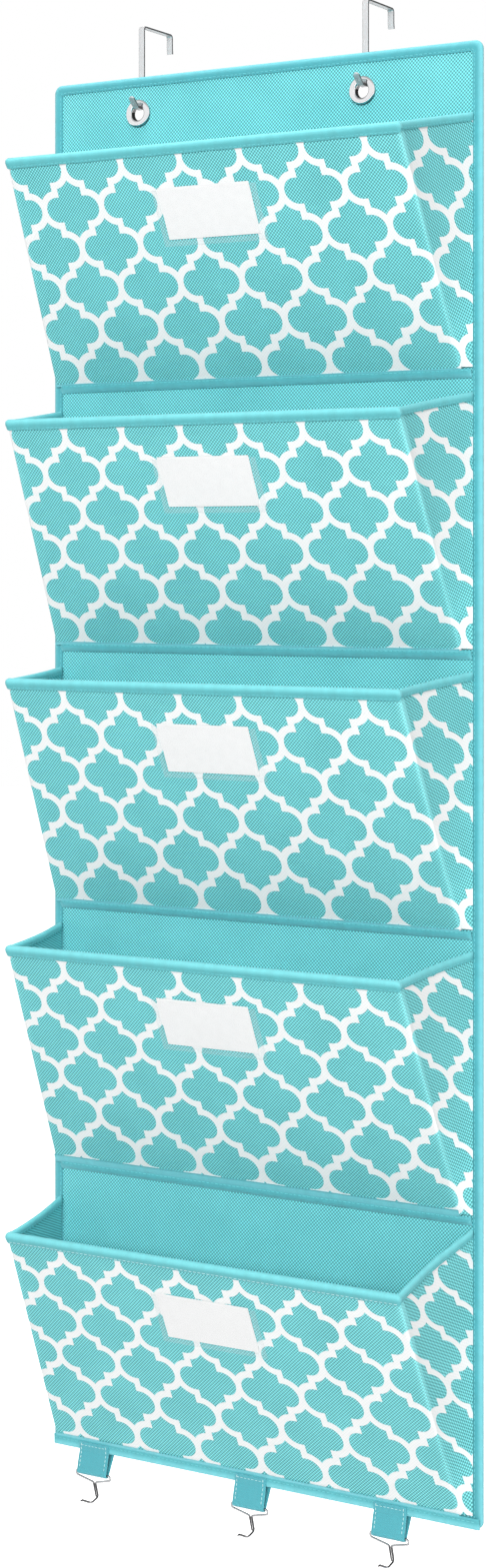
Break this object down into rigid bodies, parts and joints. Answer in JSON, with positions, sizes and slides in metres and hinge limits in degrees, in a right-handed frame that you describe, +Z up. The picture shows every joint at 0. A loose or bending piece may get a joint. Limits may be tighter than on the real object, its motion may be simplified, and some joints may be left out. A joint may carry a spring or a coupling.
{
  "type": "over-the-door file organizer",
  "caption": "Hanging cloth file organizer with wedge pockets, printed fronts, label sleeves, wire hooks on webbing loops and strip hooks for a door top.",
  "frame": {"origin": "on the door's top edge, in the door's front face, above the panel's middle", "axes": "+X to the viewer's right, +Y back into the door, +Z up; the pockets face -Y"},
  "size_m": [0.3422, 0.1231, 1.0544],
  "materials": {
    "panel_nonwoven": "plain aqua nonwoven with a fine point bond",
    "printed_nonwoven": "aqua nonwoven with a white trellis print",
    "lining_nonwoven": "plain aqua nonwoven",
    "binding_tape": "smooth aqua binding tape, sewn",
    "webbing": "satin aqua webbing",
    "board": "stiff board, out of sight",
    "card": "blank white card",
    "clear_film": "clear soft film",
    "nickel_plate": "polished nickel plate",
    "bright_wire": "bright plated wire"
  },
  "bodies": {
    "door_hooks": {"door_hook_left": "nickel_plate", "door_hook_right": "nickel_plate"},
    "organizer": {"back_panel": "panel_nonwoven", "panel_binding": "binding_tape", "eyelet_left": "nickel_plate", "eyelet_right": "nickel_plate", "eyelet_washer_left": "nickel_plate", "eyelet_washer_right": "nickel_plate", "seam_hem_1": "binding_tape", "seam_hem_2": "binding_tape", "seam_hem_3": "binding_tape", "seam_hem_4": "binding_tape", "seam_hem_5": "binding_tape", "gusset_left_1": "printed_nonwoven", "gusset_right_1": "printed_nonwoven", "gusset_left_2": "printed_nonwoven", "gusset_right_2": "printed_nonwoven", "gusset_left_3": "printed_nonwoven", "gusset_right_3": "printed_nonwoven", "gusset_left_4": "printed_nonwoven", "gusset_right_4": "printed_nonwoven", "gusset_left_5": "printed_nonwoven", "gusset_right_5": "printed_nonwoven", "strap_loop_left": "webbing", "strap_loop_middle": "webbing", "strap_loop_right": "webbing"},
    "pocket_1": {"pocket_front_1": "printed_nonwoven", "pocket_board_1": "board", "pocket_lining_1": "lining_nonwoven", "lip_binding_1": "binding_tape", "label_sleeve_1": "clear_film"},
    "card_1": {"label_card_1": "card"},
    "pocket_2": {"pocket_front_2": "printed_nonwoven", "pocket_board_2": "board", "pocket_lining_2": "lining_nonwoven", "lip_binding_2": "binding_tape", "label_sleeve_2": "clear_film"},
    "card_2": {"label_card_2": "card"},
    "pocket_3": {"pocket_front_3": "printed_nonwoven", "pocket_board_3": "board", "pocket_lining_3": "lining_nonwoven", "lip_binding_3": "binding_tape", "label_sleeve_3": "clear_film"},
    "card_3": {"label_card_3": "card"},
    "pocket_4": {"pocket_front_4": "printed_nonwoven", "pocket_board_4": "board", "pocket_lining_4": "lining_nonwoven", "lip_binding_4": "binding_tape", "label_sleeve_4": "clear_film"},
    "card_4": {"label_card_4": "card"},
    "pocket_5": {"pocket_front_5": "printed_nonwoven", "pocket_board_5": "board", "pocket_lining_5": "lining_nonwoven", "lip_binding_5": "binding_tape", "label_sleeve_5": "clear_film"},
    "card_5": {"label_card_5": "card"},
    "wire_hook_left": {"wire_hook_left": "bright_wire"},
    "wire_hook_middle": {"wire_hook_middle": "bright_wire"},
    "wire_hook_right": {"wire_hook_right": "bright_wire"}
  },
  "joints": [
    {"name": "organizer_lift", "type": "slide", "parent": "door_hooks", "child": "organizer", "axis": [0, 0, 1], "range_m": [0, 0.006]},
    {"name": "pocket_1_close", "type": "hinge", "parent": "organizer", "child": "pocket_1", "pos_m": [0, -0.0078, -0.25313], "axis": [-1, 0, 0], "range_deg": [0, 21], "deforming": ["gusset_left_1", "gusset_right_1"]},
    {"name": "card_1_slide", "type": "slide", "parent": "pocket_1", "child": "card_1", "axis": [0, -0.4481, 0.894], "range_m": [0, 0.02]},
    {"name": "pocket_2_close", "type": "hinge", "parent": "organizer", "child": "pocket_2", "pos_m": [0, -0.0078, -0.4393], "axis": [-1, 0, 0], "range_deg": [0, 21], "deforming": ["gusset_left_2", "gusset_right_2"]},
    {"name": "card_2_slide", "type": "slide", "parent": "pocket_2", "child": "card_2", "axis": [0, -0.4387, 0.8986], "range_m": [0, 0.02]},
    {"name": "pocket_3_close", "type": "hinge", "parent": "organizer", "child": "pocket_3", "pos_m": [0, -0.0078, -0.62436], "axis": [-1, 0, 0], "range_deg": [0, 21], "deforming": ["gusset_left_3", "gusset_right_3"]},
    {"name": "card_3_slide", "type": "slide", "parent": "pocket_3", "child": "card_3", "axis": [0, -0.4281, 0.9037], "range_m": [0, 0.02]},
    {"name": "pocket_4_close", "type": "hinge", "parent": "organizer", "child": "pocket_4", "pos_m": [0, -0.0078, -0.81274], "axis": [-1, 0, 0], "range_deg": [0, 21], "deforming": ["gusset_left_4", "gusset_right_4"]},
    {"name": "card_4_slide", "type": "slide", "parent": "pocket_4", "child": "card_4", "axis": [0, -0.4229, 0.9062], "range_m": [0, 0.02]},
    {"name": "pocket_5_close", "type": "hinge", "parent": "organizer", "child": "pocket_5", "pos_m": [0, -0.0078, -1.0109], "axis": [-1, 0, 0], "range_deg": [0, 21], "deforming": ["gusset_left_5", "gusset_right_5"]},
    {"name": "card_5_slide", "type": "slide", "parent": "pocket_5", "child": "card_5", "axis": [0, -0.4269, 0.9043], "range_m": [0, 0.02]},
    {"name": "wire_hook_left_swing", "type": "hinge", "parent": "organizer", "child": "wire_hook_left", "pos_m": [-0.13396, -0.0111, -1.0323], "axis": [-1, 0, 0], "range_deg": [-15, 75]},
    {"name": "wire_hook_middle_swing", "type": "hinge", "parent": "organizer", "child": "wire_hook_middle", "pos_m": [-0.00425, -0.0111, -1.0323], "axis": [-1, 0, 0], "range_deg": [-15, 75]},
    {"name": "wire_hook_right_swing", "type": "hinge", "parent": "organizer", "child": "wire_hook_right", "pos_m": [0.10438, -0.0111, -1.0323], "axis": [-1, 0, 0], "range_deg": [-15, 75]}
  ]
}
